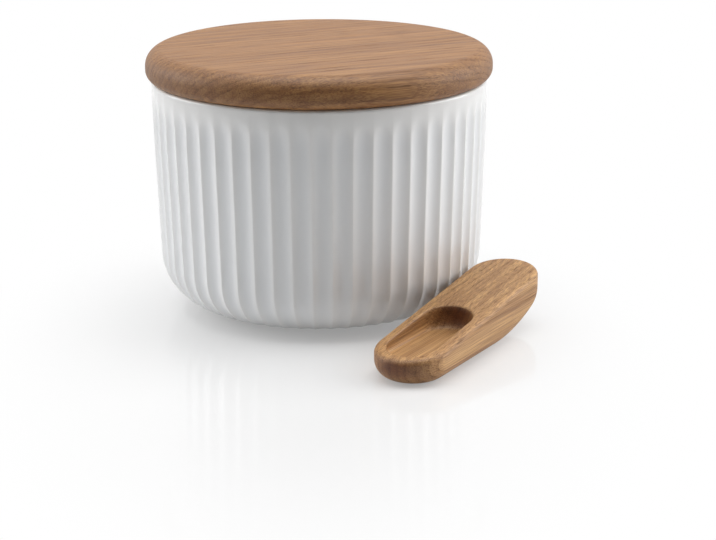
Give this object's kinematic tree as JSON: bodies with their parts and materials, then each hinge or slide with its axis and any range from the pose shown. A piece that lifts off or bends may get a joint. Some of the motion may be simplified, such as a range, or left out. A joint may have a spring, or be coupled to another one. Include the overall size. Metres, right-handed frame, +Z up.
{
  "type": "salt crock",
  "caption": "Round fluted porcelain salt crock with a turned oak lid that lifts off the rim and a small oak scoop that lies on the table beside it.",
  "frame": {"origin": "on the jar's axis, on the plane that the foot ring and the scoop stand on", "axes": "+Z up along the jar's axis; the scoop lies beside the jar at +X, along Y, with its bowl towards -Y"},
  "size_m": [0.1344, 0.1214, 0.0862],
  "materials": {
    "porcelain": "smooth clear gloss glaze over white porcelain",
    "oak": "oiled oak, sanded smooth",
    "silicone": "matt translucent silicone"
  },
  "bodies": {
    "crock": {"crock": "porcelain"},
    "lid": {"lid": "oak", "lid_gasket": "silicone"},
    "scoop": {"scoop": "oak"}
  },
  "joints": [
    {"name": "lid_lift", "type": "slide", "parent": "crock", "child": "lid", "axis": [0, 0, 1], "range_m": [0, 0.12]},
    {"name": "scoop_lift", "type": "slide", "parent": "crock", "child": "scoop", "axis": [0.7071, 0, 0.7071], "range_m": [0, 0.15]}
  ]
}
